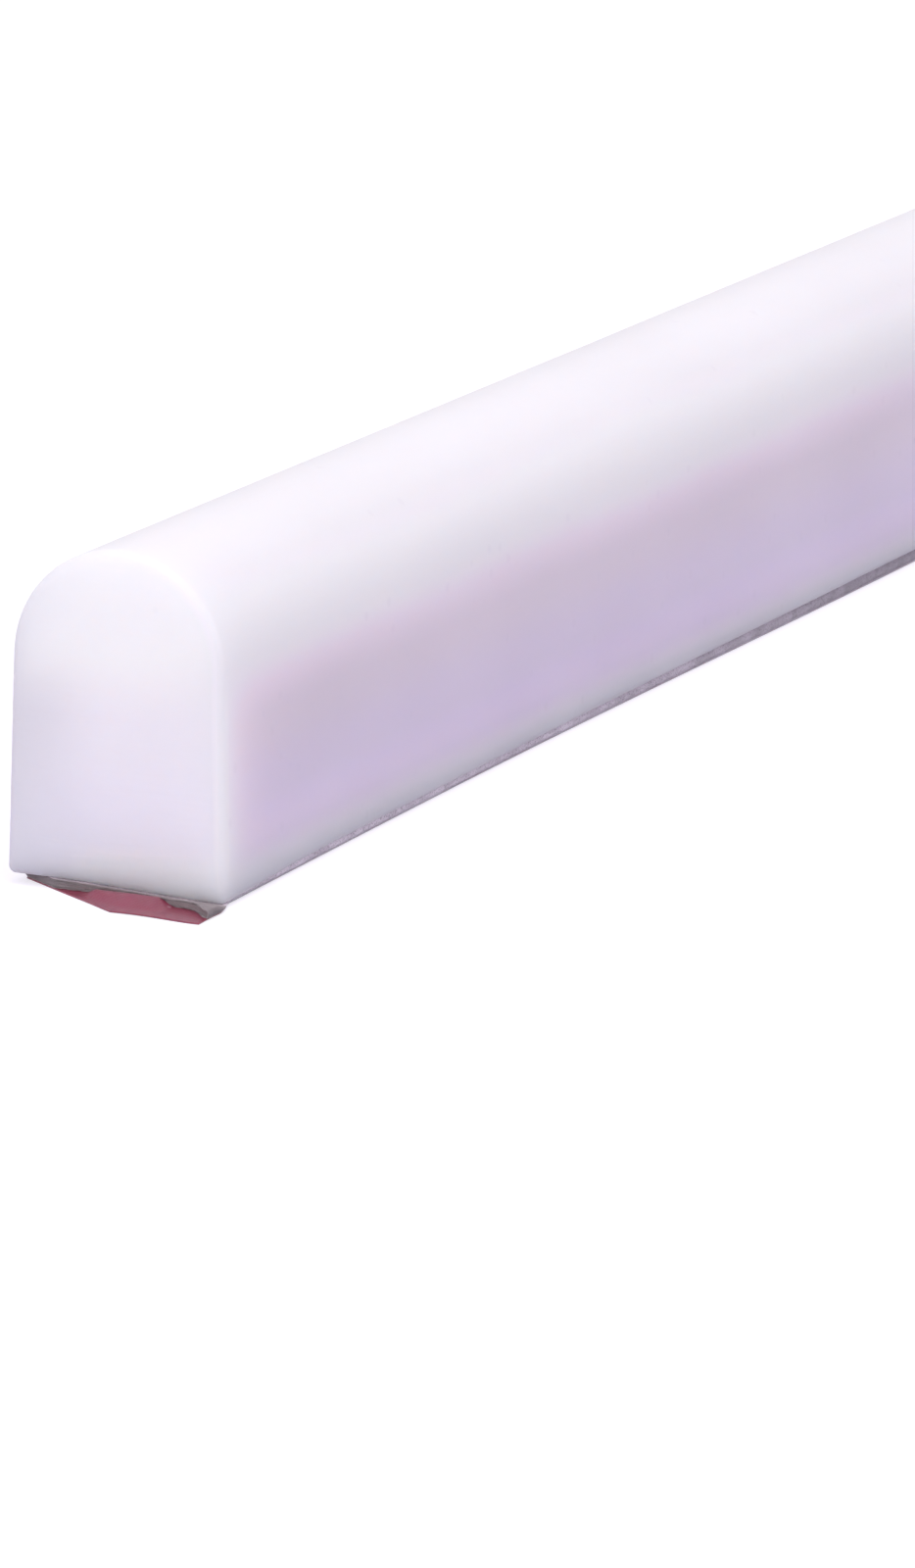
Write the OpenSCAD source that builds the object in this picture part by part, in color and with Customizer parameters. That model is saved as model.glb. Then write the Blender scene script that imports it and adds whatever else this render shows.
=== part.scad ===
// Water stop strip: a solid bar of soft white silicone with a rounded crown.
// A foam tape sticks it to a floor, and a release liner covers the tape until then.
// The bar lies along Y and is as wide as X, and the liner's underside is Z = 0.
// At the cut end that faces -Y, a slanted snip has taken a corner off tape and liner.

/* [Silicone bar] */
// Length of the bar between its two cut ends
bar_l = 500; // [60:10:2000]
// Width across the foot, measured where the sides would meet it at sharp edges
foot_w = 15; // [12:0.5:22]
// Height from the foot to the top of the crown
bar_h = 21; // [16:0.5:30]
// Lean of each side from upright, in degrees
side_lean = 1.25; // [0.5:0.25:3]
// Radius of the two long edges of the foot
foot_edge_r = 0.5; // [0.2:0.1:1]

/* [Foam tape] */
// Thickness of the tape
tape_t = 0.9; // [0.4:0.1:2]
// Distance from the edge of the foot to the edge of the tape, on each side
tape_inset = 0.5; // [0.2:0.1:2]
// Length of tape past each end of the bar
tape_past = 1.2; // [0:0.1:2]

/* [Release liner] */
// Thickness of the film
liner_t = 0.1; // [0.05:0.05:0.4]
// Length of film past each end of the bar, which makes the tab to pull
tab_l = 4; // [2:0.5:12]

/* [Snipped corner] */
// Distance behind the cut end where the snip leaves the left edge of the tape
snip_back = 2; // [0.5:0.1:4]
// Place of the snip on the tab's front edge, from 0 at its left to 1 at its right
snip_place = 0.6; // [0.1:0.05:0.9]

/* [Hidden] */
$fn = 96;

// The crown is the one circle that touches both leaning sides and the full height.
crown_r = (foot_w / 2 * cos(side_lean) - bar_h * sin(side_lean)) / (1 - sin(side_lean));
crown_z = bar_h - crown_r;
// Each foot edge is a circle that touches the foot and the leaning side.
foot_edge_x = foot_w / 2 - foot_edge_r * (1 + sin(side_lean)) / cos(side_lean);

// Tape and liner come off the roll slit to one width.
tape_w = foot_w - 2 * tape_inset;
tape_z = liner_t;
foot_z = tape_z + tape_t;

// Place on a circle where a leaning side touches it, on the side given as -1 or 1
function touch(side, x, z, r) = [side * (x + r * cos(side_lean)), z + r * sin(side_lean)];

// Section of the bar, standing on its foot
module bar_section() {
    polygon([
        [-foot_edge_x, 0],
        [foot_edge_x, 0],
        touch(1, foot_edge_x, foot_edge_r, foot_edge_r),
        touch(1, 0, crown_z, crown_r),
        touch(-1, 0, crown_z, crown_r),
        touch(-1, foot_edge_x, foot_edge_r, foot_edge_r)
    ]);
    translate([0, crown_z]) circle(r = crown_r);
    for (side = [-1, 1])
        translate([side * foot_edge_x, foot_edge_r]) circle(r = foot_edge_r);
}

// Outline of the backing from above, tabs included, with the snip at its -Y end
module backing_outline() {
    side_x = tape_w / 2;
    tab_y = bar_l / 2 + tab_l;
    polygon([
        [-side_x, snip_back - bar_l / 2],
        [tape_w * snip_place - side_x, -tab_y],
        [side_x, -tab_y],
        [side_x, tab_y],
        [-side_x, tab_y]
    ]);
}

// Solid bar, cut square at both ends
module silicone_bar() {
    color("whitesmoke")
        translate([0, bar_l / 2, foot_z])
            rotate([90, 0, 0])
                linear_extrude(height = bar_l)
                    bar_section();
}

// Double-sided foam tape under the foot, cut a little longer than the bar
module foam_tape() {
    color("dimgray")
        translate([0, 0, tape_z])
            linear_extrude(height = tape_t)
                intersection() {
                    backing_outline();
                    square([tape_w, bar_l + 2 * tape_past], center = true);
                }
}

// Film on the tape's underside, left long at both ends so that it can be pulled
module release_liner() {
    color("crimson")
        linear_extrude(height = liner_t)
            backing_outline();
}

silicone_bar();
foam_tape();
release_liner();
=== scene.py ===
"""Looks of a silicone water stop strip.

A bar of soft, milky white silicone stands on a grey foam tape, whose red release liner
still covers it. The bar, the tape and the liner are smooth surfaces worked out with numpy
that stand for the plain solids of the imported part, each in a material of its own. The
studio is a pale floor in soft light, seen from the photograph's angle.

Lengths are in millimetres in the dataclasses and in metres in Blender.
"""

from __future__ import annotations

import logging
import math
from dataclasses import dataclass, field
from enum import Enum

import bpy
import numpy as np
from mathutils import Matrix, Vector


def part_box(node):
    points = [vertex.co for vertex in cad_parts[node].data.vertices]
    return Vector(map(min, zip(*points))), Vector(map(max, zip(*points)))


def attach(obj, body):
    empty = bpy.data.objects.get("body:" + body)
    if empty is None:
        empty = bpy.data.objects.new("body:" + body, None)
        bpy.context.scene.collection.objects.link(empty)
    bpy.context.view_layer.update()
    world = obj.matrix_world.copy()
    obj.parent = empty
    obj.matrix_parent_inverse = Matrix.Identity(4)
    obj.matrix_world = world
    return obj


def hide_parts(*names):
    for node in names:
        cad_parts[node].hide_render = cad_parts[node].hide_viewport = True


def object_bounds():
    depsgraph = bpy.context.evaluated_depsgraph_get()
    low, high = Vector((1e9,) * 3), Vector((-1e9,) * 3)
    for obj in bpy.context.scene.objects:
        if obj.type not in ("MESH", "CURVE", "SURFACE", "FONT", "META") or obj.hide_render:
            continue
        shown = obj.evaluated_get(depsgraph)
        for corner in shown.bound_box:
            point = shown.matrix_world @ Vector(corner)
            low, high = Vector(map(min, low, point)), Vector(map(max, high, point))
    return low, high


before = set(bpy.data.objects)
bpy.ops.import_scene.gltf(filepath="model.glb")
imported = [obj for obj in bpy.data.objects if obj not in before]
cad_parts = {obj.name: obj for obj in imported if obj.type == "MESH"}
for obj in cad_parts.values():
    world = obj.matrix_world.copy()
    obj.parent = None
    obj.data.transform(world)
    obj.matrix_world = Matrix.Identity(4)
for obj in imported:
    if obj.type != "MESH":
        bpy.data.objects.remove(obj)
cad_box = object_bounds()

LOG = logging.getLogger("water_stop_strip")
MM = 0.001

Array = np.ndarray
Colour = tuple[float, float, float]
Socket = bpy.types.NodeSocket
Value = float | Colour | Socket
ColourByHeight = tuple[tuple[float, Colour], ...]


class Attribute(Enum):
    """Values that a mesh carries for its material, one number a vertex."""

    CUT = "cut_face"
    EDGE = "near_edge"


class Slot(Enum):
    """Material slots of the record for the pieces; nothing in the script reads them."""

    SILICONE = "silicone"
    TAPE = "tape"
    LINER = "liner"


# Surfaces


def box_mm(node: str) -> tuple[Array, Array]:
    """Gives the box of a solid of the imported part.

    Args:
        node: Name of the solid.

    Returns:
        Its lowest and highest corner in millimetres.
    """
    low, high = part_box(node)
    return np.array(low) / MM, np.array(high) / MM


def ramp(value: Array, start: float, end: float) -> Array:
    """Rises smoothly from 0 at start to 1 at end, as 3 t^2 - 2 t^3 of the share t between them."""
    t = np.clip((value - start) / (end - start), 0.0, 1.0)
    return t * t * (3 - 2 * t)


def waves(along: Array, across: Array, seed: int, length: float) -> Array:
    """Sums five long sine waves into a slow, uneven swell.

    Each wave runs along and across the piece, and each is shorter and lower than the one
    before: the sum over k of sin(2 pi (along / length_k + across / width_k) + phase_k) / k.

    Args:
        along: Distance along the piece at each point, in millimetres.
        across: Distance across the piece at each point, in millimetres.
        seed: Seed of the phases.
        length: Length of the longest wave in millimetres.

    Returns:
        The swell at each point, between about -1 and 1.
    """
    rng = np.random.default_rng(seed)
    total = np.zeros(np.broadcast(along, across).shape)
    for k in range(1, 6):
        phase, lean, stretch = rng.uniform([0.0, -1.0, 0.85], [2 * np.pi, 1.0, 1.15])
        turns = along * k / (length * stretch) + lean * across / (0.4 * length)
        total += np.sin(2 * np.pi * turns + phase) / k
    return total / 2.3


def graded_stations(near: float, far: float, fine: float, coarse: float, fine_run: float) -> Array:
    """Spaces stations closely near both ends of a run and widely between them.

    Args:
        near: First station in millimetres.
        far: Last station in millimetres.
        fine: Spacing near the ends in millimetres.
        coarse: Spacing in the middle in millimetres.
        fine_run: Length at each end that is spaced closely, in millimetres.

    Returns:
        The stations, rising from near to far.
    """
    start = np.arange(near, near + fine_run, fine)
    middle = np.linspace(near + fine_run, far - fine_run, int((far - near - 2 * fine_run) / coarse) + 2)
    return np.unique(np.round(np.concatenate([start, middle, near + far - start]), 6))


@dataclass
class Outline:
    """Line in the XZ plane with its outward unit normals.

    Attributes:
        points: Points (x, z) in millimetres, counter-clockwise seen from -Y.
        normals: Outward unit normals at those points.
    """

    points: Array
    normals: Array

    @classmethod
    def arc(cls, centre: tuple[float, float], radius: float, start: float, end: float, count: int) -> Outline:
        """Gives points centre + radius (cos a, sin a) for angles a from start to end.

        Args:
            centre: Centre (x, z) in millimetres.
            radius: Radius in millimetres.
            start: First angle in radians.
            end: Last angle in radians.
            count: Number of points.

        Returns:
            The arc.
        """
        angle = np.linspace(start, end, count)
        normals = np.stack([np.cos(angle), np.sin(angle)], axis=-1)
        return cls(np.array(centre) + radius * normals, normals)

    def run_to(self, following: Outline, count: int) -> Outline:
        """Adds a straight run up to the start of the next piece of the line.

        Args:
            following: Piece that comes next.
            count: Number of points on the run, its two ends left out.

        Returns:
            This piece with the run after it.
        """
        share = np.linspace(0.0, 1.0, count + 2)[1:-1, None]
        run = self.points[-1] + (following.points[0] - self.points[-1]) * share
        normals = np.broadcast_to(self.normals[-1], run.shape)
        return Outline(np.concatenate([self.points, run]), np.concatenate([self.normals, normals]))

    @classmethod
    def ring(cls, pieces: list[Outline], counts: list[int]) -> Outline:
        """Joins pieces by straight runs into one closed line.

        Args:
            pieces: The curved pieces in order.
            counts: Number of points on the run after each piece.

        Returns:
            The closed line.
        """
        following = pieces[1:] + pieces[:1]
        parts = [piece.run_to(after, count) for piece, after, count in zip(pieces, following, counts)]
        return cls(np.concatenate([p.points for p in parts]), np.concatenate([p.normals for p in parts]))

    @classmethod
    def rounded_rectangle(cls, low: Array, high: Array, radius: float, across: int, up: int) -> Outline:
        """Goes once round a rectangle whose corners are quarter circles.

        Args:
            low: Lowest corner (x, z) in millimetres.
            high: Highest corner (x, z) in millimetres.
            radius: Radius of the corners in millimetres.
            across: Number of points on each run along X.
            up: Number of points on each run along Z.

        Returns:
            The closed line, from the corner at high X and low Z.
        """
        left, right = low[0] + radius, high[0] - radius
        bottom, top = low[1] + radius, high[1] - radius
        centres = [(right, bottom), (right, top), (left, top), (left, bottom)]
        quarter = np.pi / 2
        corners = [cls.arc(c, radius, (k - 1) * quarter, k * quarter, 5) for k, c in enumerate(centres)]
        return cls.ring(corners, [up, across, up, across])


@dataclass
class Shell:
    """Closed surface made of loops that are carried from one end to the other.

    Attributes:
        loops: Points in millimetres, shaped rows by points in a loop by 3.
        cut: How far each point belongs to a cut face, shaped rows by points in a loop.
        edge: How close each point is to an edge, shaped rows by points in a loop.
    """

    loops: Array
    cut: Array
    edge: Array

    @classmethod
    def carried(cls, outline: Outline, stations: Array, rim: float, cap_rings: int) -> Shell:
        """Carries an outline along Y, rounds the rims of its two cut faces and fills them.

        Between the rims a point is (x, station, z). On a rim it turns through a quarter
        circle of radius r: it moves in along the outline's normal by r (1 - cos t) and out
        along Y by r sin t. On a cut face the loop shrinks in straight lines to the middle.

        Args:
            outline: Section of the piece.
            stations: Places along Y in millimetres, the first and last being the cut faces.
            rim: Radius of the rims in millimetres.
            cap_rings: Number of loops on each cut face.

        Returns:
            The closed surface.
        """
        turn = np.linspace(np.pi / 2, 0.0, 7)
        shrink = np.linspace(0.0, 1.0, cap_rings + 1)[1:-1]
        inner = outline.points - outline.normals * rim
        middle = (inner.min(axis=0) + inner.max(axis=0)) / 2
        cap = middle + (inner - middle) * shrink[:, None, None]
        bend = outline.points - outline.normals * (rim * (1 - np.cos(turn)))[:, None, None]
        run_at = stations[(stations > stations[0] + rim) & (stations < stations[-1] - rim)]
        run = np.broadcast_to(outline.points, (len(run_at), *outline.points.shape))
        section = np.concatenate([cap, bend, run, bend[::-1], cap[::-1]])

        near_at = stations[0] + np.concatenate([np.zeros(len(shrink)), rim * (1 - np.sin(turn))])
        far_at = stations[0] + stations[-1] - near_at
        along = np.concatenate([near_at, run_at, far_at[::-1]])[:, None]
        loops = np.stack([section[..., 0], np.broadcast_to(along, section.shape[:2]), section[..., 1]], axis=-1)
        near_cut = np.concatenate([np.ones(len(shrink)), turn / turn[0]])
        near_edge = np.concatenate([np.zeros(len(shrink)), np.ones(len(turn))])
        cut, edge = (np.concatenate([end, np.zeros(len(run_at)), end[::-1]]) for end in (near_cut, near_edge))
        ring = np.ones(len(outline.points))
        return cls(loops, cut[:, None] * ring, edge[:, None] * ring)

    def xyz(self) -> tuple[Array, Array, Array]:
        """Gives the points' X, Y and Z in millimetres, each shaped rows by points in a loop."""
        return self.loops[..., 0], self.loops[..., 1], self.loops[..., 2]

    def faces(self) -> list[list[int]]:
        """Joins each loop to the next by quads and closes both ends by a fan.

        Returns:
            Indices of each face's points, in the order that turns the face outwards.
        """
        rows, ring = self.loops.shape[:2]
        here = np.arange(rows * ring).reshape(rows, ring)
        beside = np.roll(here, -1, axis=1)
        quads = np.stack([here[:-1], here[1:], beside[1:], beside[:-1]], axis=-1).reshape(-1, 4)
        near = np.stack([here[0], beside[0], np.full(ring, rows * ring)], axis=-1)
        far = np.stack([beside[-1], here[-1], np.full(ring, rows * ring + 1)], axis=-1)
        return [*quads.tolist(), *near.tolist(), *far.tolist()]

    def to_object(self, name: str) -> bpy.types.Object:
        """Makes the Blender object, smooth-shaded, with its attributes.

        Args:
            name: Name of the object and its mesh.

        Returns:
            The object, at the origin, in metres.
        """
        middles = self.loops[[0, -1]].mean(axis=1)
        points = np.concatenate([self.loops.reshape(-1, 3), middles]) * MM
        mesh = bpy.data.meshes.new(name)
        mesh.from_pydata(points.tolist(), [], self.faces())
        mesh.polygons.foreach_set("use_smooth", np.ones(len(mesh.polygons), dtype=bool))
        for kind, values in ((Attribute.CUT, self.cut), (Attribute.EDGE, self.edge)):
            layer = mesh.attributes.new(kind.value, "FLOAT", "POINT")
            whole = np.concatenate([values.ravel(), values[[0, -1]].mean(axis=1)])
            layer.data.foreach_set("value", whole.astype(np.float32))
        mesh.update()
        piece = bpy.data.objects.new(name, mesh)
        bpy.context.scene.collection.objects.link(piece)
        return piece


@dataclass(frozen=True)
class Lie:
    """How the soft strip lies: a slight sway of its foot, and foam squeezed at one corner.

    Attributes:
        bar_end: Place of the near cut face along Y in millimetres.
        sway: How far the foot wanders to either side, in millimetres.
        sway_length: Length of one whole wander in millimetres.
        sway_left: Distance from the near end of the furthest wander to -X.
        still: Height above which nothing wanders, in millimetres.
        squeeze: How far the foam is squeezed along the +X side near the end, in millimetres.
        squeeze_fade: Distances behind the end between which this fades, in millimetres.
        corner_squeeze: How much further it is squeezed at the near +X corner.
        end_squeeze: How much further it is squeezed all along the near end.
        corner_run: Distance along Y over which both fade, in millimetres.
        tab_aside: How far the corner of the near tab is drawn to +X, in millimetres.
    """

    bar_end: float
    sway: float = 0.3
    sway_length: float = 150.0
    sway_left: float = 50.0
    still: float = 15.0
    squeeze: float = 0.42
    squeeze_fade: tuple[float, float] = (30.0, 130.0)
    corner_squeeze: float = 0.04
    end_squeeze: float = 0.30
    corner_run: float = 9.0
    tab_aside: float = 0.65

    def aside(self, y: Array, z: Array) -> Array:
        """Gives the shift along X, a cosine along Y that fades with height.

        Args:
            y: Places along the strip in millimetres.
            z: Heights in millimetres.

        Returns:
            The shift at each point in millimetres.
        """
        turn = 2 * np.pi * (y - self.bar_end - self.sway_left) / self.sway_length
        return -self.sway * np.cos(turn) * (1 - ramp(z, 0.0, self.still))

    def corner(self, x: Array, y: Array) -> Array:
        """Gives the shift along X of the near tab's corner, which starts 2 mm under the bar.

        Args:
            x: Places across the strip in millimetres.
            y: Places along the strip in millimetres.

        Returns:
            The shift at each point in millimetres.
        """
        return self.tab_aside * ramp(x, 2.0, 7.0) * ramp(self.bar_end - y, -2.0, 1.2)

    def sink(self, x: Array, y: Array) -> Array:
        """Gives how far the foot sinks into the foam: more to +X, and most at the corner.

        Args:
            x: Places across the strip in millimetres.
            y: Places along the strip in millimetres.

        Returns:
            The depth at each point in millimetres.
        """
        near = np.exp(-(((y - self.bar_end) / self.corner_run) ** 2))
        toward = ramp(x, -5.5, 8.5)
        along = self.squeeze * (1 - ramp(y - self.bar_end, *self.squeeze_fade))
        return toward * along + (toward * self.corner_squeeze + self.end_squeeze) * near


@dataclass(frozen=True)
class Snip:
    """Slanted cut that takes the left corner off tape and liner at the -Y end.

    Attributes:
        back: Distance behind the bar's end where the cut leaves the left edge, in millimetres.
        place: Place of the cut on the tab's front edge, from 0 at its left to 1.
    """

    back: float = 2.0
    place: float = 0.6

    def front(self, x: Array, left: float, right: float, bar_end: float, tab_end: float) -> Array:
        """Finds the cut's place along Y, which is the line between its two ends.

        Args:
            x: Places across the tape in millimetres.
            left: Left edge of the tape.
            right: Right edge of the tape.
            bar_end: Place of the bar's cut face along Y.
            tab_end: Place of the tab's front edge along Y.

        Returns:
            The lowest Y that the cut leaves at each place.
        """
        corner = left + (right - left) * self.place
        start = bar_end + self.back
        return start + (x - left) / (corner - left) * (tab_end - start)


def drawn_to(y: Array, near: float, front: Array, reach: float) -> Array:
    """Moves the near end of a piece to a new front, and less and less up to a reach.

    Args:
        y: Places along the piece in millimetres.
        near: Place of its near end.
        front: New place of the near end at each point.
        reach: Distance behind the near end at which nothing moves.

    Returns:
        The new places.
    """
    return y + (front - near) * np.clip(1 - (y - near) / reach, 0.0, 1.0)


# Shader parts


class Nodes:
    """Writes one node tree: adds nodes, sets their values and links their sockets."""

    def __init__(self, tree: bpy.types.NodeTree) -> None:
        """Keeps the tree that the nodes go into."""
        self.tree = tree

    def add(self, kind: str, values: dict[str | int, Value] | None = None, **settings: object) -> bpy.types.Node:
        """Adds a node.

        Args:
            kind: Blender's name of the node's type.
            values: Input socket to its value, or to the output socket that feeds it.
            **settings: Properties of the node itself.

        Returns:
            The node.
        """
        node = self.tree.nodes.new(kind)
        for name, value in settings.items():
            setattr(node, name, value)
        for socket, value in (values or {}).items():
            if isinstance(value, Socket):
                self.tree.links.new(value, node.inputs[socket])
            else:
                node.inputs[socket].default_value = value
        return node

    def math(self, operation: str, *values: Value, clamp: bool = False) -> Socket:
        """Adds a Math node.

        Args:
            operation: Name of the operation.
            *values: Its numbers or sockets.
            clamp: Whether the result stays between 0 and 1.

        Returns:
            The result.
        """
        node = self.add("ShaderNodeMath", dict(enumerate(values)), operation=operation, use_clamp=clamp)
        return node.outputs[0]

    def total(self, *parts: tuple[Socket, float]) -> Socket:
        """Adds up values, each times its weight.

        Args:
            *parts: Pairs of a value and its weight.

        Returns:
            The sum.
        """
        result: Value = 0.0
        for value, weight in parts:
            result = self.math("MULTIPLY_ADD", value, weight, result)
        return result

    def ramp(self, value: Socket, low: float, high: float, start: float = 0.0, end: float = 1.0) -> Socket:
        """Maps a range of a value smoothly to another range.

        Args:
            value: Value to map.
            low: Value that gives start.
            high: Value that gives end.
            start: Result at low and below.
            end: Result at high and above.

        Returns:
            The result.
        """
        values = {"Value": value, "From Min": low, "From Max": high, "To Min": start, "To Max": end}
        return self.add("ShaderNodeMapRange", values, interpolation_type="SMOOTHSTEP").outputs["Result"]

    def ramp_mm(self, value: Socket, ends: tuple[float, float]) -> Socket:
        """Rises smoothly from 0 to 1 between two places given in millimetres."""
        return self.ramp(value, ends[0] * MM, ends[1] * MM)

    def by_height(self, up: Socket, stops: ColourByHeight) -> Socket:
        """Gives colours that follow each other with height, easing from one to the next.

        Args:
            up: Height in metres.
            stops: Pairs of a height in millimetres and the colour there, rising.

        Returns:
            The colour at each height.
        """
        low, high = stops[0][0], stops[-1][0]
        share = self.add("ShaderNodeMapRange", {"Value": up, "From Min": low * MM, "From Max": high * MM})
        node = self.add("ShaderNodeValToRGB", {"Fac": share.outputs["Result"]})
        band = node.color_ramp
        band.interpolation = "EASE"
        while len(band.elements) < len(stops):
            band.elements.new(1.0)
        for element, (height, colour) in zip(band.elements, stops):
            element.position = (height - low) / (high - low)
            element.color = (*colour, 1.0)
        return node.outputs["Color"]

    def blend(self, factor: Value, first: Value, second: Value) -> Socket:
        """Mixes two colours.

        Args:
            factor: Share of the second colour.
            first: First colour.
            second: Second colour.

        Returns:
            The mixed colour.
        """
        colours = {6: first, 7: second}
        values = {k: c if isinstance(c, Socket) else (*c, 1.0) for k, c in colours.items()}
        return self.add("ShaderNodeMix", {0: factor, **values}, data_type="RGBA").outputs[2]

    def shaded(self, colour: Value, factor: Value) -> Socket:
        """Makes a colour lighter or darker by a factor."""
        return self.add("ShaderNodeVectorMath", {0: colour, "Scale": factor}, operation="SCALE").outputs["Vector"]

    def mapped(self, vector: Socket, scale: Colour, turn: Colour = (0.0, 0.0, 0.0)) -> Socket:
        """Scales coordinates along each axis and then turns them, so that a pattern stretches.

        Args:
            vector: Coordinates.
            scale: Factor along X, Y and Z.
            turn: Turn about X, Y and Z in radians.

        Returns:
            The new coordinates.
        """
        values = {"Vector": vector, "Scale": scale, "Rotation": turn}
        return self.add("ShaderNodeMapping", values).outputs["Vector"]

    def noise(self, vector: Socket, scale: Value, detail: float = 3.0, rough: float = 0.5) -> Socket:
        """Adds a noise texture.

        Args:
            vector: Coordinates.
            scale: Features per metre.
            detail: Number of octaves.
            rough: Share of each octave in the next.

        Returns:
            Its value, which lies about 0.5.
        """
        values = {"Vector": vector, "Scale": scale, "Detail": detail, "Roughness": rough}
        return self.add("ShaderNodeTexNoise", values).outputs["Fac"]

    def group(self, tree: bpy.types.NodeTree, values: dict[str | int, Value]) -> Socket:
        """Places a group with its input values and gives what it puts out."""
        return self.add("ShaderNodeGroup", values, node_tree=tree).outputs[0]

    def attribute(self, kind: Attribute) -> Socket:
        """Reads a mesh's own number."""
        return self.add("ShaderNodeAttribute", attribute_name=kind.value).outputs["Fac"]

    def seen(self) -> Socket:
        """Tells camera, glossy and transmission rays, which see the background, from the others.

        Returns:
            1 for those rays and 0 for the others.
        """
        path = self.add("ShaderNodeLightPath").outputs
        through = self.math("MAXIMUM", path["Is Glossy Ray"], path["Is Transmission Ray"])
        return self.math("MAXIMUM", path["Is Camera Ray"], through)

    def surface(self, values: dict[str | int, Value]) -> None:
        """Adds the Principled BSDF with its values and links it to the output."""
        shader = self.add("ShaderNodeBsdfPrincipled", values)
        self.add("ShaderNodeOutputMaterial", {"Surface": shader.outputs["BSDF"]})


def new_group(name: str, **numbers: float) -> tuple[bpy.types.NodeTree, Nodes, dict[str, Socket]]:
    """Makes a shader node group that takes coordinates and numbers and puts out one value.

    Args:
        name: Name of the group.
        **numbers: Number input to its default value.

    Returns:
        The group, the writer of its nodes and its inputs by name.
    """
    tree = bpy.data.node_groups.new(name, "ShaderNodeTree")
    tree.interface.new_socket("Vector", in_out="INPUT", socket_type="NodeSocketVector")
    for label, default in numbers.items():
        tree.interface.new_socket(label, in_out="INPUT", socket_type="NodeSocketFloat").default_value = default
    tree.interface.new_socket("Value", in_out="OUTPUT", socket_type="NodeSocketFloat")
    nodes = Nodes(tree)
    given = nodes.add("NodeGroupInput").outputs
    return tree, nodes, {label: given[label] for label in ("Vector", *numbers)}


class Effects:
    """Shader groups that more than one material uses, each built once."""

    def __init__(self) -> None:
        """Builds the groups."""
        self.speckle = self.build_speckle()
        self.drawn_lines = self.build_drawn_lines()
        self.grain = self.build_grain()

    @staticmethod
    def build_speckle() -> bpy.types.NodeTree:
        """Builds small soft specks, such as dust or pores.

        A speck is where the distance to a cell's point is under Size, and only in the
        share Amount of the cells, picked by each cell's own random number. Its value is
        the square root of how far inside the speck the place lies.

        Returns:
            The group.
        """
        tree, nodes, given = new_group("speckle", Scale=900.0, Size=0.2, Amount=0.3)
        where = {"Vector": given["Vector"], "Scale": given["Scale"]}
        cells = nodes.add("ShaderNodeTexVoronoi", where).outputs
        depth = nodes.math("SUBTRACT", 1.0, nodes.math("DIVIDE", cells["Distance"], given["Size"]), clamp=True)
        pick = nodes.add("ShaderNodeSeparateColor", {"Color": cells["Color"]}).outputs["Red"]
        kept = nodes.math("LESS_THAN", pick, given["Amount"])
        nodes.add("NodeGroupOutput", {"Value": nodes.math("MULTIPLY", nodes.math("SQRT", depth), kept)})
        return tree

    @staticmethod
    def build_drawn_lines() -> bpy.types.NodeTree:
        """Builds the fine lines that a die or slitter leaves along Y.

        It is noise whose cells are fifty times as long along Y, times a slower noise that
        breaks the lines up.

        Returns:
            The group.
        """
        tree, nodes, given = new_group("drawn_lines", Scale=1500.0)
        lines = nodes.noise(nodes.mapped(given["Vector"], (1.0, 0.02, 1.0)), given["Scale"], detail=2.0)
        gaps = nodes.noise(nodes.mapped(given["Vector"], (1.0, 0.15, 1.0)), 180.0, detail=1.0)
        nodes.add("NodeGroupOutput", {"Value": nodes.math("MULTIPLY", lines, gaps)})
        return tree

    @staticmethod
    def build_grain() -> bpy.types.NodeTree:
        """Builds a fine even grain, a noise with a share of rounded cells.

        Returns:
            The group.
        """
        tree, nodes, given = new_group("grain", Scale=4000.0)
        soft = nodes.noise(given["Vector"], given["Scale"], detail=4.0, rough=0.6)
        where = {"Vector": given["Vector"], "Scale": given["Scale"]}
        cells = nodes.add("ShaderNodeTexVoronoi", where, feature="SMOOTH_F1").outputs["Distance"]
        nodes.add("NodeGroupOutput", {"Value": nodes.total((soft, 0.7), (cells, 0.3))})
        return tree


def new_material(name: str) -> tuple[bpy.types.Material, Nodes, Socket]:
    """Makes a material with an empty node tree.

    Args:
        name: Name of the material.

    Returns:
        The material, the writer of its nodes and its object coordinates.
    """
    material = bpy.data.materials.new(name)
    material.use_nodes = True
    material.node_tree.nodes.clear()
    nodes = Nodes(material.node_tree)
    return material, nodes, nodes.add("ShaderNodeTexCoord").outputs["Object"]


# Finishes


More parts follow.
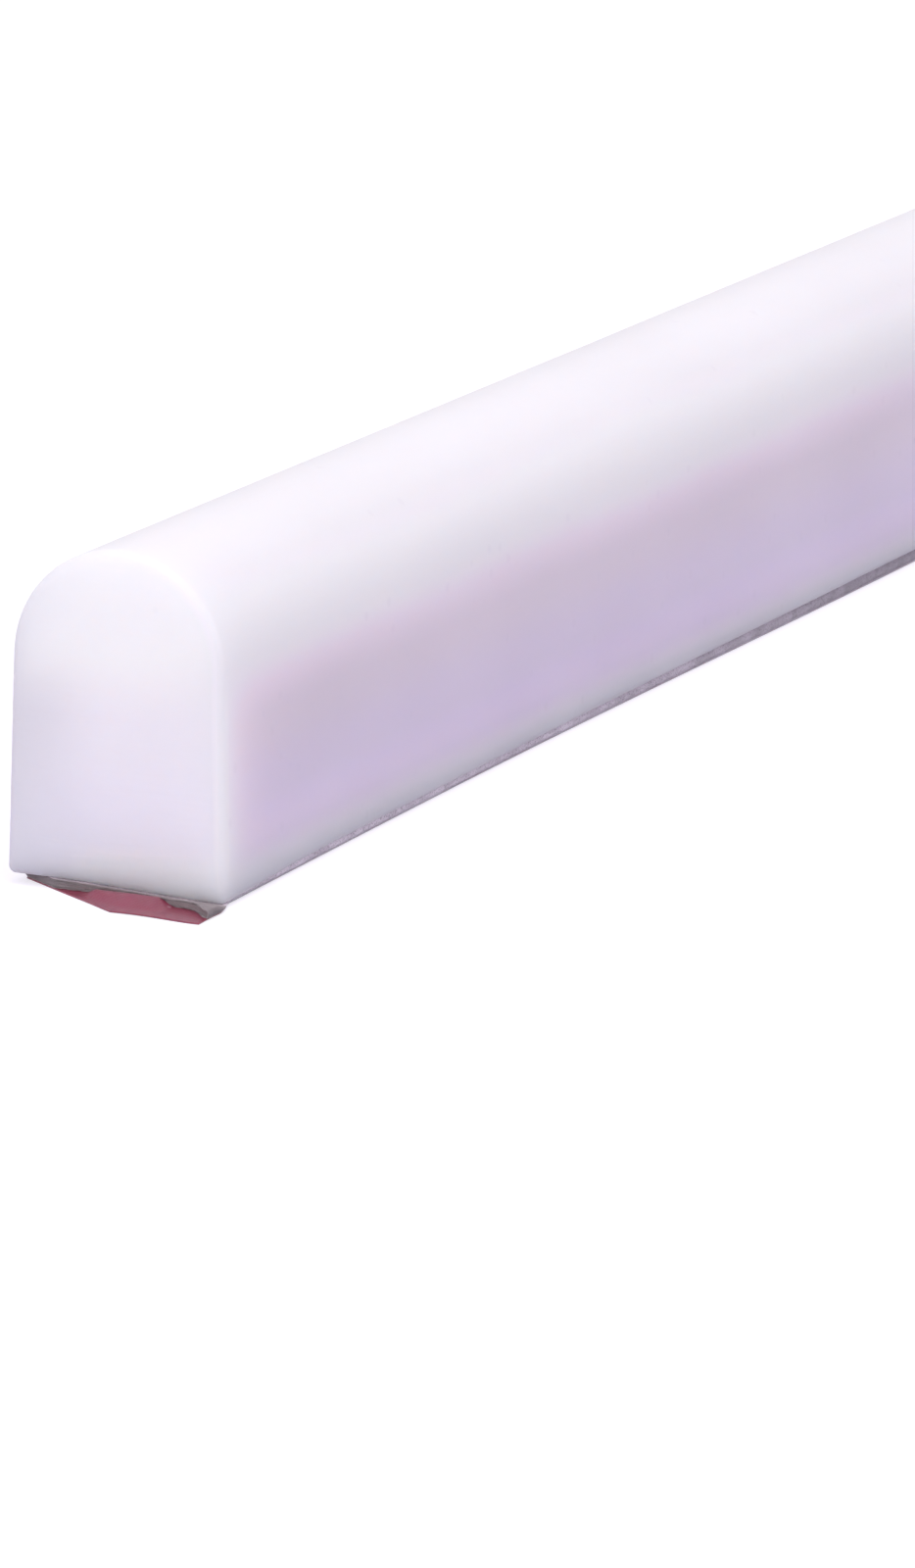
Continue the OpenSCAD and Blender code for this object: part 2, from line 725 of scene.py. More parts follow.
@dataclass(frozen=True)
class SiliconeFinish:
    """Soft, milky white silicone that light goes a few millimetres into.

    Attributes:
        skin: Colours of the drawn skin by height, which paint light and shade in: painted light over
        the glue and on the shoulders, lilac painted shade on the sides, painted shade at the top.
        opened: Colours of a cut face by height, which paint light and shade in: painted light at the foot and top,
            painted shade between.
        opened_left_painted_shade: Painted shade, darker colours of a cut face by height towards -X.
        left_across: Places across the face between which that painted shade ends.
        rim_highlight: Painted highlight, a pale pink glow on the cut's edge on the +X side.
        rim_highlight_across: Places across the bar between which that painted highlight begins.
        dusty: Colour of the specks on it.
        outline_painted_shade: Factor of the painted shade where it is seen edge-on.
        outline_from: Facing, from 0 for head-on to 1 for edge-on, at which this begins.
        depth: Distance that light travels in it, in millimetres.
        spread: Share of that distance for red, green and blue.
        gloss: Roughness of the drawn surface.
        cut_gloss: Roughness of a cut face.
    """

    skin: ColourByHeight = (
        (1.0, (1.000, 0.895, 1.000)),
        (3.4, (0.838, 0.718, 0.955)),
        (6.5, (0.782, 0.703, 0.836)),
        (11.0, (0.795, 0.722, 0.789)),
        (15.9, (1.000, 0.918, 0.985)),
        (17.8, (1.000, 0.924, 0.982)),
        (20.2, (0.870, 0.858, 0.868)),
    )
    opened: ColourByHeight = (
        (1.0, (1.000, 0.925, 1.000)),
        (4.0, (0.856, 0.830, 0.895)),
        (10.5, (0.856, 0.838, 0.870)),
        (16.5, (0.918, 0.908, 0.890)),
    )
    opened_left_painted_shade: ColourByHeight = (
        (1.0, (0.750, 0.740, 0.800)),
        (10.5, (0.735, 0.722, 0.758)),
        (16.5, (0.918, 0.908, 0.890)),
    )
    left_across: tuple[float, float] = (-8.0, 0.0)
    rim_highlight: Colour = (0.990, 0.905, 0.945)
    rim_highlight_across: tuple[float, float] = (-1.0, 7.0)
    dusty: Colour = (0.62, 0.56, 0.66)
    outline_painted_shade: float = 0.91
    outline_from: float = 0.68
    depth: float = 7.5
    spread: Colour = (1.0, 0.9, 0.84)
    gloss: float = 0.42
    cut_gloss: float = 0.55

    def colour(self, nodes: Nodes, place: Socket, cut: Socket, dust: Socket) -> Socket:
        """Blends the skin's and the cut faces' colours, which paint light and shade by height, with a painted
        highlight at the +X cut edge, painted shade along the outline, clouds and dust.

        Args:
            nodes: Writer of the material's nodes.
            place: Object coordinates.
            cut: Share of cut face.
            dust: Mask of the dust.

        Returns:
            The colour.
        """
        across, _, up = nodes.add("ShaderNodeSeparateXYZ", {"Vector": place}).outputs
        # Painted shade: the cut face is drawn darker towards -X.
        right = nodes.ramp_mm(across, self.left_across)
        # Light and shade are painted into the cut face's colours by height.
        opened = nodes.blend(right, nodes.by_height(up, self.opened_left_painted_shade), nodes.by_height(up, self.opened))
        # Light and shade are painted into the skin's colours by height.
        whole = nodes.blend(cut, nodes.by_height(up, self.skin), opened)
        # Painted highlight: a pale pink glow on the +X cut edge and the skin just behind it.
        rim_highlight_mask = nodes.math("MULTIPLY", nodes.attribute(Attribute.EDGE), nodes.ramp_mm(across, self.rim_highlight_across))
        whole = nodes.blend(rim_highlight_mask, whole, self.rim_highlight)
        clouds = nodes.noise(nodes.mapped(place, (1.0, 0.35, 1.0)), 90.0, detail=4.0)
        # Painted shade: darker where the surface is seen edge-on.
        facing = nodes.add("ShaderNodeLayerWeight", {"Blend": 0.5}).outputs["Facing"]
        outline = nodes.ramp(facing, self.outline_from, 1.0, 1.0, self.outline_painted_shade)
        factor = nodes.math("MULTIPLY", nodes.ramp(clouds, 0.3, 0.7, 0.98, 1.01), outline)
        return nodes.blend(nodes.math("MULTIPLY", dust, 0.12), nodes.shaded(whole, factor), self.dusty)

    def relief(self, nodes: Nodes, effects: Effects, place: Socket, cut: Socket, dust: Socket) -> Socket:
        """Adds up drawn lines on the skin, blade strokes on a cut, grain, swell and dust.

        Args:
            nodes: Writer of the material's nodes.
            effects: Shared shader groups.
            place: Object coordinates.
            cut: Share of cut face.
            dust: Mask of the dust.

        Returns:
            The height in millimetres.
        """
        lines = nodes.group(effects.drawn_lines, {"Vector": place, "Scale": 1700.0})
        skin_lines = nodes.math("MULTIPLY", lines, nodes.math("SUBTRACT", 1.0, cut))
        grain = nodes.group(effects.grain, {"Vector": place, "Scale": 2600.0})
        stroke = nodes.noise(nodes.mapped(place, (0.05, 1.0, 1.0), (0.0, 0.32, 0.0)), 1400.0)
        cut_strokes = nodes.math("MULTIPLY", stroke, cut)
        swell = nodes.noise(place, 110.0, detail=1.0)
        return nodes.total((skin_lines, 0.05), (grain, 0.018), (cut_strokes, 0.07), (swell, 0.3), (dust, 0.02))

    def material(self, effects: Effects) -> bpy.types.Material:
        """Writes the material.

        Args:
            effects: Shared shader groups.

        Returns:
            The material.
        """
        material, nodes, place = new_material("milky_silicone")
        cut = nodes.attribute(Attribute.CUT)
        dust = nodes.group(effects.speckle, {"Vector": place, "Scale": 420.0, "Size": 0.16, "Amount": 0.22})
        smears = nodes.noise(nodes.mapped(place, (1.0, 0.4, 1.0)), 140.0)
        handled = nodes.ramp(smears, 0.3, 0.7, self.gloss - 0.06, self.gloss + 0.06)
        height = self.relief(nodes, effects, place, cut, dust)
        bump = nodes.add("ShaderNodeBump", {"Height": height, "Strength": 0.5, "Distance": MM})
        nodes.surface({
            "Base Color": self.colour(nodes, place, cut, dust),
            "Roughness": nodes.math("MULTIPLY_ADD", cut, self.cut_gloss - self.gloss, handled),
            "IOR": 1.41,
            "Specular IOR Level": 0.35,
            "Subsurface Weight": 1.0,
            "Subsurface Radius": self.spread,
            "Subsurface Scale": self.depth * MM,
            "Subsurface Anisotropy": 0.1,
            "Sheen Weight": 0.05,
            "Sheen Roughness": 0.5,
            "Normal": bump.outputs["Normal"],
        })
        return material


@dataclass(frozen=True)
class FoamFinish:
    """Grey closed-cell foam between two thin layers of glue.

    Attributes:
        foam: Colour of the foam.
        near_painted_light: Painted light, a pale colour of the foam towards the near end.
        end_painted_shade: Painted shade, a dark colour of the foam on its cut ends and past the bar's ends.
        pore: Colour in its pores.
        glue: Colour of the glue at its top and bottom.
        fade: Places along Y in millimetres between which that painted light ends.
        gloss: Roughness of the foam.
        glue_gloss: Roughness of the glue.
        glue_thick: Thickness of each layer of glue in millimetres.
    """

    foam: Colour = (0.440, 0.405, 0.445)
    near_painted_light: Colour = (0.930, 0.860, 0.920)
    end_painted_shade: Colour = (0.235, 0.200, 0.205)
    pore: Colour = (0.150, 0.130, 0.145)
    glue: Colour = (0.78, 0.74, 0.84)
    fade: tuple[float, float] = (-215.0, -120.0)
    gloss: float = 0.85
    glue_gloss: float = 0.35
    glue_thick: float = 0.06

    def material(self, effects: Effects, low: float, high: float) -> bpy.types.Material:
        """Writes the material.

        Args:
            effects: Shared shader groups.
            low: Height of the tape's underside in millimetres.
            high: Height of the tape's top in millimetres.

        Returns:
            The material.
        """
        material, nodes, place = new_material("grey_foam")
        _, along, up = nodes.add("ShaderNodeSeparateXYZ", {"Vector": place}).outputs
        thin, thick = 0.8 * self.glue_thick, 1.6 * self.glue_thick
        top = nodes.ramp(up, (high - thick) * MM, (high - thin) * MM)
        bottom = nodes.ramp(up, (low + thin) * MM, (low + thick) * MM, 1.0, 0.0)
        glue = nodes.math("MAXIMUM", top, bottom)
        small = nodes.group(effects.speckle, {"Vector": place, "Scale": 7000.0, "Size": 0.42, "Amount": 0.8})
        large = nodes.group(effects.speckle, {"Vector": place, "Scale": 3200.0, "Size": 0.34, "Amount": 0.35})
        pores = nodes.math("MULTIPLY", nodes.math("MAXIMUM", small, large), nodes.math("SUBTRACT", 1.0, glue))
        cloud = nodes.ramp(nodes.noise(place, 500.0), 0.3, 0.7, 0.85, 1.12)
        start, end = (at * MM for at in self.fade)
        # Painted light: the foam is drawn pale towards the near end and grey further back.
        base = nodes.shaded(nodes.blend(nodes.ramp(along, start, end), self.near_painted_light, self.foam), cloud)
        colour = nodes.blend(nodes.math("MULTIPLY", pores, 0.5), base, self.pore)
        colour = nodes.blend(nodes.math("MULTIPLY", glue, 0.7), colour, self.glue)
        grain = nodes.group(effects.grain, {"Vector": place, "Scale": 9000.0})
        height = nodes.total((grain, 0.25), (pores, -1.0))
        bump = nodes.add("ShaderNodeBump", {"Height": height, "Strength": 0.7, "Distance": 0.05 * MM})
        nodes.surface({
            # Painted shade on the cut ends and past the bar's ends, where the edge value is 1.
            "Base Color": nodes.blend(nodes.attribute(Attribute.EDGE), colour, nodes.shaded(self.end_painted_shade, cloud)),
            "Roughness": nodes.math("MULTIPLY_ADD", glue, self.glue_gloss - self.gloss, self.gloss),
            "IOR": 1.45,
            "Subsurface Weight": 0.3,
            "Subsurface Radius": (1.0, 0.9, 0.95),
            "Subsurface Scale": 0.3 * MM,
            "Sheen Weight": 0.1,
            "Sheen Roughness": 0.6,
            "Normal": bump.outputs["Normal"],
        })
        return material


@dataclass(frozen=True)
class FilmFinish:
    """Red film of soft plastic with fine crossed lines pressed into it.

    Attributes:
        film: Colour of the film.
        worn: Colour where it is stretched, rubbed or folded.
        slit: Colour of its long slit edges, greyer and paler than the film.
        dusty: Colour of the dust on it.
        gloss: Roughness of the film.
        pitch: Distance between the pressed lines in millimetres.
        slant: Angle of the lines to either side of Y, in degrees.
    """

    film: Colour = (0.245, 0.027, 0.062)
    worn: Colour = (0.32, 0.085, 0.135)
    slit: Colour = (0.58, 0.52, 0.57)
    dusty: Colour = (0.72, 0.60, 0.64)
    gloss: float = 0.3
    pitch: float = 0.35
    slant: float = 35.0

    def pressed_lines(self, nodes: Nodes, place: Socket) -> Socket:
        """Crosses two sets of sine ridges, one slanted to each side.

        Args:
            nodes: Writer of the material's nodes.
            place: Object coordinates.

        Returns:
            The greater of the two sets at each place, from 0 to 1.
        """
        across = 2 * math.pi / (20 * self.pitch * MM)
        sets = []
        for side in (-1, 1):
            turned = nodes.mapped(place, (1.0, 1.0, 1.0), (0.0, 0.0, side * math.radians(self.slant)))
            sets.append(nodes.add("ShaderNodeTexWave", {"Vector": turned, "Scale": across}).outputs["Fac"])
        return nodes.math("MAXIMUM", *sets)

    def material(self, effects: Effects) -> bpy.types.Material:
        """Writes the material.

        Args:
            effects: Shared shader groups.

        Returns:
            The material.
        """
        material, nodes, place = new_material("red_film")
        streaks = nodes.noise(nodes.mapped(place, (1.0, 0.06, 1.0)), 500.0)
        rubbed = nodes.ramp(streaks, 0.55, 0.78, 0.0, 0.35)
        front = nodes.math("MULTIPLY", nodes.attribute(Attribute.CUT), 0.45)
        dust = nodes.group(effects.speckle, {"Vector": place, "Scale": 900.0, "Size": 0.15, "Amount": 0.25})
        colour = nodes.blend(nodes.math("MAXIMUM", rubbed, front), self.film, self.worn)
        colour = nodes.blend(nodes.attribute(Attribute.EDGE), colour, self.slit)
        ripples = nodes.noise(nodes.mapped(place, (1.0, 0.5, 1.0)), 260.0, detail=2.0)
        lines = nodes.group(effects.drawn_lines, {"Vector": place, "Scale": 2600.0})
        height = nodes.total((self.pressed_lines(nodes, place), 0.012), (ripples, 0.3), (lines, 0.02))
        bump = nodes.add("ShaderNodeBump", {"Height": height, "Strength": 0.6, "Distance": MM})
        nodes.surface({
            "Base Color": nodes.blend(nodes.math("MULTIPLY", dust, 0.4), colour, self.dusty),
            "Roughness": nodes.math("MULTIPLY_ADD", rubbed, 0.5, self.gloss),
            "IOR": 1.5,
            "Subsurface Weight": 0.35,
            "Subsurface Radius": (1.0, 0.25, 0.3),
            "Subsurface Scale": 0.4 * MM,
            "Coat Weight": 0.15,
            "Coat Roughness": 0.2,
            "Normal": bump.outputs["Normal"],
        })
        return material


@dataclass(frozen=True)
class FloorFinish:
    """Pale matt floor that is seen as white where no shadow lies on it.

    Attributes:
        paint: Colour of the floor.
        lift: Light that is added where the floor is seen, but not where it lights the strip.
    """

    paint: Colour = (0.52, 0.50, 0.57)
    lift: float = 0.60

    def material(self) -> bpy.types.Material:
        """Writes the material.

        Returns:
            The material.
        """
        material, nodes, place = new_material("pale_floor")
        fleck = nodes.ramp(nodes.noise(place, 40.0, detail=5.0), 0.3, 0.7, 0.985, 1.0)
        matt = nodes.add("ShaderNodeBsdfDiffuse", {"Color": nodes.shaded(self.paint, fleck), "Roughness": 0.3})
        glow = nodes.add("ShaderNodeEmission", {"Strength": nodes.math("MULTIPLY", nodes.seen(), self.lift)})
        both = nodes.add("ShaderNodeAddShader", {0: matt.outputs[0], 1: glow.outputs[0]})
        nodes.add("ShaderNodeOutputMaterial", {"Surface": both.outputs[0]})
        return material


# Pieces


def settle(piece: bpy.types.Object, node: str, material: bpy.types.Material) -> bpy.types.Object:
    """Dresses a piece, puts it on the body and lets it stand for its solid.

    Args:
        piece: The piece.
        node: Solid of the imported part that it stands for.
        material: Its material.

    Returns:
        The piece.
    """
    piece.data.materials.append(material)
    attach(piece, "root")
    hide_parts(node)
    return piece


@dataclass
class SiliconeBar:
    """Solid silicone bar with leaning sides and one round crown.

    Attributes:
        lean: Lean of each side from upright, in degrees.
        foot_edge: Radius of the foot's long edges in millimetres.
        rim: Radius to which the soft cut edges round over, less than that of the foot's
            edges, in millimetres.
        swell: Unevenness of the drawn surface in millimetres.
        cut_swell: Unevenness of the cut faces in millimetres.
        give: Height above the foot up to which the bar gives way where its foot sinks.
        rim_highlight_run: Distance from a cut over which the painted highlight fades along the skin, in
            millimetres.
        finish: Its finish.
        node: Solid that it stands for.
    """

    lean: float = 1.25
    foot_edge: float = 0.5
    rim: float = 0.48
    swell: float = 0.03
    cut_swell: float = 0.06
    give: float = 7.0
    rim_highlight_run: float = 3.2
    finish: SiliconeFinish = field(default_factory=SiliconeFinish)
    node: str = "silicone_bar"

    def section(self, widest: float, low: float, high: float) -> Outline:
        """Goes once round the section, from the foot's +X edge.

        The crown is the circle that touches both leaning sides and the full height. With
        half width b at sharp edges, height h and lean d its radius is
        (b cos d - h sin d) / (1 - sin d). Each foot edge is an arc of radius r that
        touches the foot and the side, so its middle is r (1 + sin d) / cos d inside b.

        Args:
            widest: Width over the foot's round edges in millimetres.
            low: Height of the foot in millimetres.
            high: Height of the crown's top in millimetres.

        Returns:
            The section.
        """
        lean = math.radians(self.lean)
        sine, cosine = math.sin(lean), math.cos(lean)
        foot_x = widest / 2 - self.foot_edge
        half = foot_x + self.foot_edge * (1 + sine) / cosine
        crown_r = (half * cosine - (high - low) * sine) / (1 - sine)
        foot_z = low + self.foot_edge
        right = Outline.arc((foot_x, foot_z), self.foot_edge, -math.pi / 2, lean, 12)
        crown = Outline.arc((0.0, high - crown_r), crown_r, lean, math.pi - lean, 121)
        left = Outline.arc((-foot_x, foot_z), self.foot_edge, math.pi - lean, 1.5 * math.pi, 12)
        return Outline.ring([right, crown, left], [34, 34, 30])

    def build(self, lie: Lie) -> bpy.types.Object:
        """Builds the bar's surface.

        Args:
            lie: How the strip lies.

        Returns:
            The object.
        """
        low, high = box_mm(self.node)
        section = self.section(high[0] - low[0], low[2], high[2])
        stations = graded_stations(low[1], high[1], 0.9, 4.5, 36.0)
        shell = Shell.carried(section, stations, self.rim, 18)
        x, y, z = shell.xyz()
        rise = np.clip((z - low[2]) / (high[2] - low[2]), 0.0, 1.0)
        wider = waves(y, z, 11, 70.0) * self.swell * rise / high[0]
        lower = np.abs(waves(y, x, 12, 95.0)) * self.swell * rise
        giving = 1 - ramp(z, low[2] + self.foot_edge, low[2] + self.give)
        hollow = np.abs(waves(z, x, 13, 21.0)) * self.cut_swell * shell.cut
        from_cut = high[1] - np.abs(y)
        # The edge value carries the painted highlight a short way along the skin from each cut.
        shell.edge = np.maximum(shell.edge, (1 - shell.cut) * np.exp(-from_cut / self.rim_highlight_run))
        shell.loops = np.stack([
            x * (1 + wider) + lie.aside(y, z),
            y - np.sign(y) * hollow,
            z - lower - lie.sink(x, y) * giving,
        ], axis=-1)
        return shell.to_object("silicone_bar_skin")

    def dress(self, piece: bpy.types.Object, effects: Effects) -> bpy.types.Object:
        """Gives the bar its finish and its place on the body."""
        return settle(piece, self.node, self.finish.material(effects))


@dataclass
class FoamTape:
    """Thin foam tape under the foot, squeezed by it, with a torn near end.

    Attributes:
        edge: Radius of its edges in millimetres.
        ragged: Unevenness of its slit sides in millimetres.
        bulge: How far its squeezed sides swell out, in millimetres.
        rise: Share of the squeeze that it loses past the bar's ends.
        torn: Pairs of a place across the tape and the torn end's distance past the bar.
        snip: The cut at its corner.
        finish: Its finish.
        node: Solid that it stands for.
    """

    edge: float = 0.06
    ragged: float = 0.05
    bulge: float = 0.12
    rise: float = 0.5
    torn: tuple[tuple[float, float], ...] = (
        (-7.0, 0.0), (2.4, 0.1), (3.4, 1.0), (5.2, 1.3), (6.0, 1.9), (6.5, 2.8), (7.0, 3.2),
    )
    snip: Snip = field(default_factory=Snip)
    finish: FoamFinish = field(default_factory=FoamFinish)
    node: str = "foam_tape"

    def build(self, lie: Lie, tab_end: float) -> bpy.types.Object:
        """Builds the tape's surface.

        Args:
            lie: How the strip lies.
            tab_end: Place of the liner's front edge along Y, where the snip starts.

        Returns:
            The object.
        """
        low, high = box_mm(self.node)
        section = Outline.rounded_rectangle(low[[0, 2]], high[[0, 2]], self.edge, 110, 7)
        stations = graded_stations(low[1], high[1], 0.35, 3.5, 30.0)
        shell = Shell.carried(section, stations, self.edge, 9)
        x, y, z = shell.xyz()
        share = (z - low[2]) / (high[2] - low[2])
        torn = lie.bar_end - np.interp(x, *np.array(self.torn).T)
        snipped = self.snip.front(x, low[0], high[0], lie.bar_end, tab_end)
        chewed = np.abs(waves(x * 8, z * 40, 22, 19.0)) * self.ragged * 1.5
        y = drawn_to(y, low[1], np.maximum(torn, snipped) + chewed, 12.0)
        side = (np.abs(x) / high[0]) ** 8
        swollen = 4 * share * (1 - share) * self.bulge
        rough = np.abs(waves(y * 9, z * 60, 21, 23.0)) * self.ragged
        out = np.abs(y) + lie.bar_end
        # The edge value marks where the painted shade goes: the cut ends, and the tape from just under the bar's
        # ends outward.
        shell.edge = np.maximum(shell.cut, ramp(out, -0.6, 0.1))
        held = 1 - self.rise * ramp(out, 0.0, 1.6)
        shell.loops = np.stack([
            x + np.sign(x) * side * (swollen - rough) + lie.aside(y, z) + lie.corner(x, y),
            y,
            z - lie.sink(x, y) * share * held,
        ], axis=-1)
        return shell.to_object("foam_tape_skin")

    def dress(self, piece: bpy.types.Object, effects: Effects) -> bpy.types.Object:
        """Gives the tape its finish and its place on the body."""
        low, high = box_mm(self.node)
        return settle(piece, self.node, self.finish.material(effects, low[2], high[2]))


@dataclass
class ReleaseLiner:
    """Thin film under the tape, with a tab at each end that waves and buckles a little.

    Attributes:
        wave: Height of the tabs' waves in millimetres.
        buckle: Height of the fold that stands in front of the tape's near end.
        buckle_from: Place across the tab where the fold starts.
        buckle_to: Place across the tab where the fold ends.
        corner_out: How far its near +X corner is drawn out, in millimetres.
        snip: The cut at its corner.
        finish: Its finish.
        node: Solid that it stands for.
    """

    wave: float = 0.07
    buckle: float = 0.45
    buckle_from: float = -1.6
    buckle_to: float = 3.9
    corner_out: float = 0.4
    snip: Snip = field(default_factory=Snip)
    finish: FilmFinish = field(default_factory=FilmFinish)
    node: str = "release_liner"

    def lift(self, x: Array, out: Array, behind: Array) -> Array:
        """Gives the film's height over the floor.

        The waves grow with the distance from the bar. The fold of the near tab goes up
        over the first 0.7 mm past the bar and runs out over the next 3 mm, or sooner where
        the film's edge is near.

        Args:
            x: Places across the film in millimetres.
            out: Distance past the bar's end in millimetres, 0 under the bar.
            behind: Distance behind the edge of the near tab, 0 at the far one.

        Returns:
            The height at each point in millimetres.
        """
        waving = self.wave * ramp(out, 0.0, 3.0) * (0.5 + 0.5 * waves(x * 1.4, out, 31, 19.0))
        window = ramp(x, self.buckle_from - 0.5, self.buckle_from + 0.7)
        window *= 1 - ramp(x, self.buckle_to - 0.7, self.buckle_to + 0.5)
        fold = ramp(out, 0.05, 0.75) * (1 - ramp(out, 0.75, 3.75)) * ramp(behind, 0.0, 1.6)
        return waving + self.buckle * window * fold

    def build(self, lie: Lie) -> bpy.types.Object:
        """Builds the film's surface.

        Args:
            lie: How the strip lies.

        Returns:
            The object.
        """
        low, high = box_mm(self.node)
        edge = 0.45 * (high[2] - low[2])
        section = Outline.rounded_rectangle(low[[0, 2]], high[[0, 2]], edge, 150, 1)
        stations = graded_stations(low[1], high[1], 0.16, 4.5, 8.0)
        shell = Shell.carried(section, stations, edge, 4)
        x, y, z = shell.xyz()
        snipped = self.snip.front(x, low[0], high[0], lie.bar_end, low[1])
        front = np.maximum(low[1] - self.corner_out * ramp(x, 3.0, 7.0), snipped)
        y = drawn_to(y, low[1], front, 12.0)
        out = np.clip(np.abs(y) + lie.bar_end, 0.0, None)
        height = z + self.lift(x, out, np.where(y < 0, y - front, 0.0))
        shell.loops = np.stack([x + lie.aside(y, z) + lie.corner(x, y), y, height], axis=-1)
        shell.edge = (np.abs(x) / high[0]) ** 90 * (1 - ramp(out, 0.0, 1.5))
        return shell.to_object("release_liner_film")

    def dress(self, piece: bpy.types.Object, effects: Effects) -> bpy.types.Object:
        """Gives the film its finish and its place on the body."""
        return settle(piece, self.node, self.finish.material(effects))


# Studio


def pose_of(right: Array, up: Array, back: Array, place: Array) -> Matrix:
    """Makes the matrix of a lamp or camera from its axes and its place in metres."""
    columns = np.eye(4)
    columns[:3, :4] = np.stack([right, up, back, place], axis=-1)
    return Matrix(columns.tolist())


def view_axes(azimuth: float, elevation: float) -> tuple[Array, Array, Array]:
    """Gives the axes of a camera or lamp that looks at the strip from a side.

    Back is (sin a cos e, -cos a cos e, sin e), level is (cos a, sin a, 0) and upright is
    square to both.

    Args:
        azimuth: Angle round the strip in degrees, 0 on the -Y side and 90 on the +X side.
        elevation: Angle above the floor in degrees.

    Returns:
        The axes that point back, to the right and up.
    """
    a, e = math.radians(azimuth), math.radians(elevation)
    back = np.array([math.sin(a) * math.cos(e), -math.cos(a) * math.cos(e), math.sin(e)])
    level = np.array([math.cos(a), math.sin(a), 0.0])
    return back, level, np.cross(back, level)


@dataclass(frozen=True)
class SoftLight:
    """One large, soft lamp that looks at the near end of the strip.

    Attributes:
        name: Name of the lamp.
        azimuth: Angle round the strip in degrees, 0 on the -Y side and 90 on the +X side.
        elevation: Angle above the floor in degrees.
        power: Its power in watts.
        size: Its width and height in metres.
        distance: Its distance in metres.
        colour: Its colour.
    """

    name: str
    azimuth: float
    elevation: float
    power: float
    size: tuple[float, float] = (1.0, 1.0)
    distance: float = 1.4
    colour: Colour = (1.0, 1.0, 1.0)

    def hang(self, target: Array) -> bpy.types.Object:
        """Makes the lamp and turns it to the target.

        Args:
            target: Point in metres that it looks at.

        Returns:
            The lamp.
        """
        data = bpy.data.lights.new(self.name, "AREA")
        data.shape = "RECTANGLE"
        data.size, data.size_y = self.size
        data.energy, data.color = self.power, self.colour
        lamp = bpy.data.objects.new(self.name, data)
        back, level, upright = view_axes(self.azimuth, self.elevation)
        lamp.matrix_world = pose_of(level, upright, back, target + back * self.distance)
        bpy.context.scene.collection.objects.link(lamp)
        return lamp


@dataclass(frozen=True)
class PhotoCamera:
    """Camera fitted to the edges of the strip in the photograph.

    Attributes:
        azimuth: Angle round the strip in degrees, 0 looking along +Y.
        elevation: Angle above the floor in degrees.
        roll: Turn about the view axis in degrees.
        distance: Distance from the foot of the near end in millimetres.
        offset: Shift of the camera to its right and up, in millimetres.
        focal: Focal length in pixels of the full picture.
        tall: Height of the full picture in pixels.
    """

    azimuth: float = 22.5017
    elevation: float = 12.6703
    roll: float = 1.3707
    distance: float = 660.17
    offset: tuple[float, float] = (21.480, 7.030)
    focal: float = 10810.2
    tall: int = 1600

    def aim(self, near_end: float) -> bpy.types.Object:
        """Makes the camera and gives it to the scene.

        Right and up are the level and upright axes, turned about the view axis by the roll.

        Args:
            near_end: Place of the near cut face along Y in millimetres.

        Returns:
            The camera.
        """
        back, level, upright = view_axes(self.azimuth, self.elevation)
        roll = math.radians(self.roll)
        right = math.cos(roll) * level + math.sin(roll) * upright
        up = -math.sin(roll) * level + math.cos(roll) * upright
        place = np.array([0.0, near_end, 0.0]) + back * self.distance
        place += right * self.offset[0] + up * self.offset[1]
        data = bpy.data.cameras.new("photo_camera")
        data.sensor_width = 36.0
        data.lens = self.focal / self.tall * data.sensor_width
        data.clip_start, data.clip_end = 0.01, 60.0
        camera = bpy.data.objects.new("photo_camera", data)
        camera.matrix_world = pose_of(right, up, back, place * MM)
        bpy.context.scene.collection.objects.link(camera)
        bpy.context.scene.camera = camera
        return camera


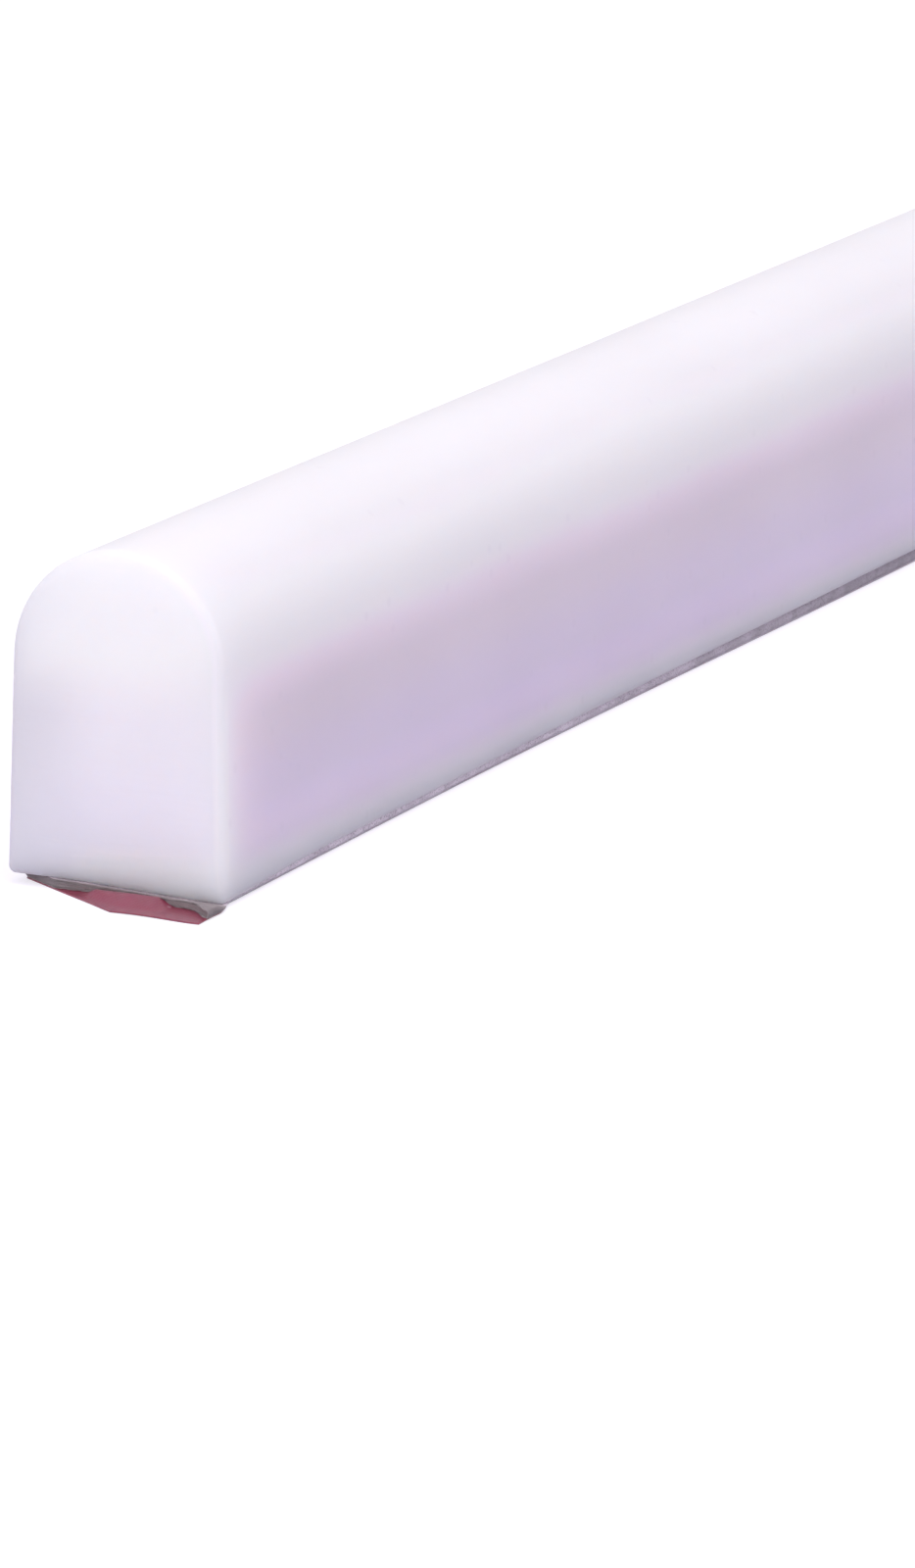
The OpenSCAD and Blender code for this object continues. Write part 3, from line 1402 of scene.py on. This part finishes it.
@dataclass
class Studio:
    """Pale floor, white surround and soft lamps.

    Attributes:
        floor_half: Half of the floor's side in metres.
        surround: Colour of the light that comes from all round.
        surround_power: Its strength.
        lamps: The lamps.
        floor: The floor's finish.
    """

    floor_half: float = 6.0
    surround: Colour = (0.93, 0.88, 1.0)
    surround_power: float = 0.66
    lamps: tuple[SoftLight, ...] = (
        SoftLight("front", 0.0, 15.0, 7.2),
        SoftLight("near_top", 22.0, 60.0, 3.7),
        SoftLight("side_top", 90.0, 75.0, 4.5),
    )
    floor: FloorFinish = field(default_factory=FloorFinish)

    def lay_floor(self) -> bpy.types.Object:
        """Lays the floor at the height of the strip's underside.

        Returns:
            The floor.
        """
        side = np.array([[-1, -1], [1, -1], [1, 1], [-1, 1]]) * self.floor_half
        corners = np.concatenate([side, np.full((4, 1), cad_box[0][2])], axis=-1)
        mesh = bpy.data.meshes.new("floor")
        mesh.from_pydata(corners.tolist(), [], [[0, 1, 2, 3]])
        mesh.materials.append(self.floor.material())
        floor = bpy.data.objects.new("floor", mesh)
        bpy.context.scene.collection.objects.link(floor)
        return floor

    def light_world(self) -> bpy.types.World:
        """Surrounds the scene with soft tinted light that the camera and gloss see as white.

        Returns:
            The world.
        """
        world = bpy.data.worlds.new("surround")
        world.use_nodes = True
        world.node_tree.nodes.clear()
        nodes = Nodes(world.node_tree)
        soft = nodes.add("ShaderNodeBackground", {"Color": (*self.surround, 1.0), "Strength": self.surround_power})
        white = nodes.add("ShaderNodeBackground", {"Color": (1.0, 1.0, 1.0, 1.0), "Strength": 1.0})
        mixed = nodes.add("ShaderNodeMixShader", {0: nodes.seen(), 1: soft.outputs[0], 2: white.outputs[0]})
        nodes.add("ShaderNodeOutputWorld", {"Surface": mixed.outputs[0]})
        bpy.context.scene.world = world
        return world

    def light(self, near_end: float) -> None:
        """Lights the strip.

        Args:
            near_end: Place of the near cut face along Y in millimetres.
        """
        self.light_world()
        for lamp in self.lamps:
            lamp.hang(np.array([0.0, near_end + 40.0, 10.0]) * MM)


def main() -> None:
    """Builds the strip, then the studio and the camera."""
    logging.basicConfig(level=logging.INFO, format="%(name)s: %(message)s")
    bpy.context.scene.view_settings.view_transform = "Standard"
    effects = Effects()
    bar, tape, liner = SiliconeBar(), FoamTape(), ReleaseLiner()
    lie = Lie(bar_end=box_mm(bar.node)[0][1])
    tab_end = box_mm(liner.node)[0][1]
    pieces = [
        bar.dress(bar.build(lie), effects),
        tape.dress(tape.build(lie, tab_end), effects),
        liner.dress(liner.build(lie), effects),
    ]
    for piece in pieces:
        LOG.info("%s: %d faces", piece.name, len(piece.data.polygons))
    studio = Studio()
    studio.lay_floor()
    studio.light(lie.bar_end)
    PhotoCamera().aim(lie.bar_end)


if __name__ == "__main__":
    main()
